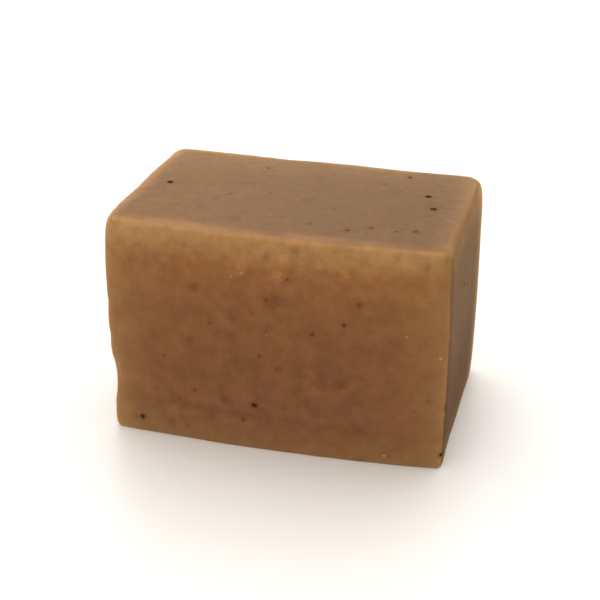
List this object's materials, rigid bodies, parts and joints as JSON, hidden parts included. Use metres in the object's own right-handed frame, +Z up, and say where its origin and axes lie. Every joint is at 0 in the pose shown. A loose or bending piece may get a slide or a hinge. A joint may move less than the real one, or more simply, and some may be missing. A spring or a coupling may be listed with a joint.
{
  "type": "fudge cube",
  "caption": "Knife-cut block of vanilla fudge with flat faces, soft rounded edges and a fuller front, lying on its flat base.",
  "frame": {"origin": "middle of the flat base, under the middle of the block's length and depth", "axes": "+X along the length, to the right as the front is looked at; +Y from the front face to the back; +Z up from the base"},
  "size_m": [0.0372, 0.0244, 0.0253],
  "materials": {
    "fudge": "caramel brown, close and slightly waxy, satin, light showing through the edges, dark specks"
  },
  "bodies": {
    "root": {"fudge_cube": "fudge"}
  },
  "joints": []
}
